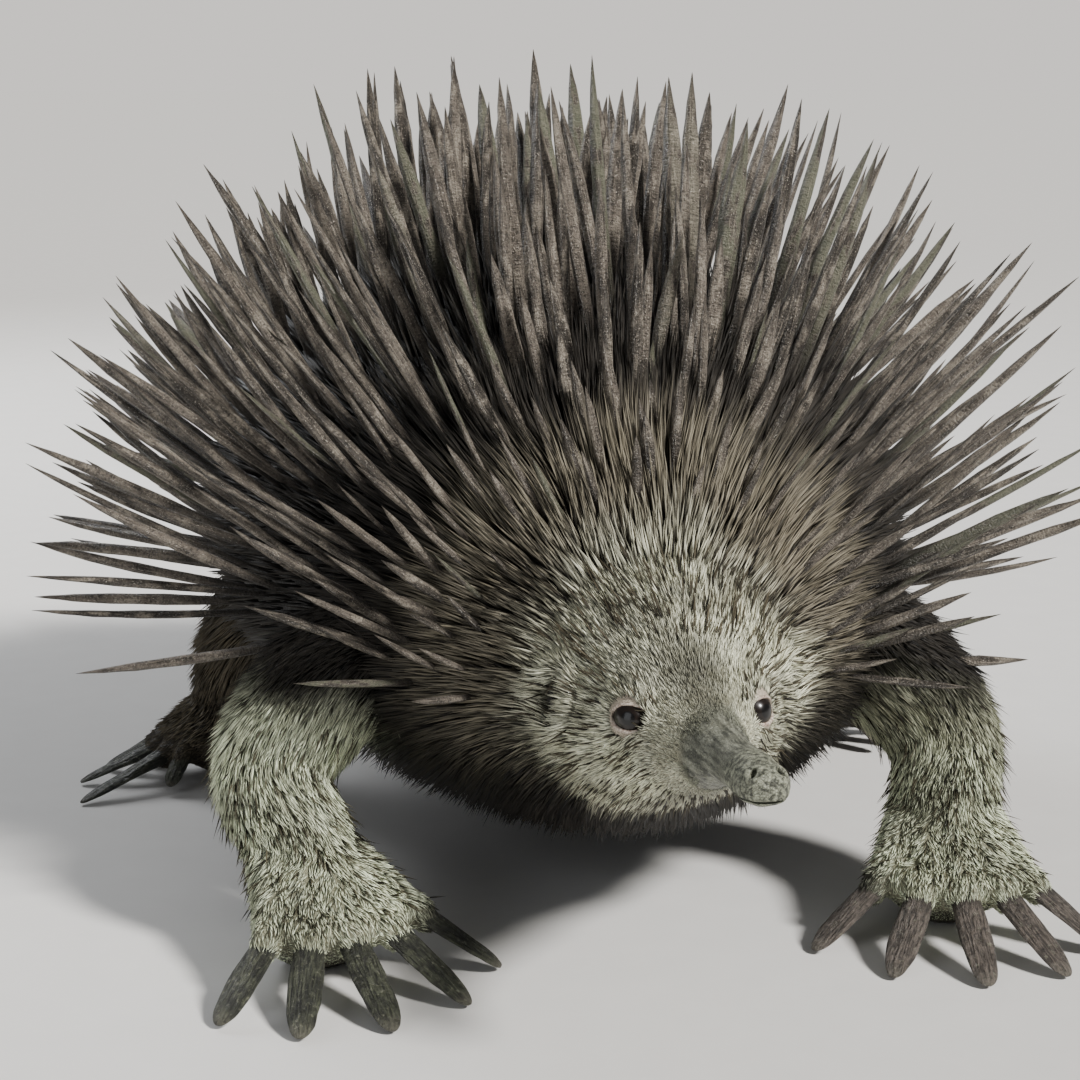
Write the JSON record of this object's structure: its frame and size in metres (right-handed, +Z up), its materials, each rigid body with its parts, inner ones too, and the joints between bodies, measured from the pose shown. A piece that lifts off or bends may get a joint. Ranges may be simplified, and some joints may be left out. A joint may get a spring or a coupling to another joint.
{
  "type": "short-beaked echidna",
  "caption": "Life-size still model of a short-beaked echidna standing on four feet, spines raised, long bare beak, furred face and legs, and digging claws.",
  "frame": {"origin": "on the floor, under the middle of the whole animal's box", "axes": "+Z up, -Y the way the beak points, +X the animal's left side"},
  "size_m": [0.338, 0.4476, 0.2454],
  "materials": {
    "spines": "matte horn",
    "ruff": "furred hide",
    "coat": "furred hide",
    "face": "short fur",
    "beak": "bare skin",
    "claw": "satin horn",
    "eye": "wet gloss"
  },
  "bodies": {
    "root": {"beak": "beak", "head": "face", "eye_right": "eye", "ear_right": "face", "foreleg_right": "coat", "forefoot_right": "coat", "fore_right_claw_1": "claw", "fore_right_claw_2": "claw", "fore_right_claw_3": "claw", "fore_right_claw_4": "claw", "fore_right_claw_5": "claw", "hindleg_right": "coat", "hindfoot_right": "coat", "hind_right_claw_1": "claw", "hind_right_claw_2": "claw", "hind_right_claw_3": "claw", "hind_right_claw_4": "claw", "hind_right_claw_5": "claw", "eye_left": "eye", "ear_left": "face", "foreleg_left": "coat", "forefoot_left": "coat", "fore_left_claw_1": "claw", "fore_left_claw_2": "claw", "fore_left_claw_3": "claw", "fore_left_claw_4": "claw", "fore_left_claw_5": "claw", "hindleg_left": "coat", "hindfoot_left": "coat", "hind_left_claw_1": "claw", "hind_left_claw_2": "claw", "hind_left_claw_3": "claw", "hind_left_claw_4": "claw", "hind_left_claw_5": "claw", "tail": "coat", "neck": "ruff", "torso": "spines"}
  },
  "joints": []
}
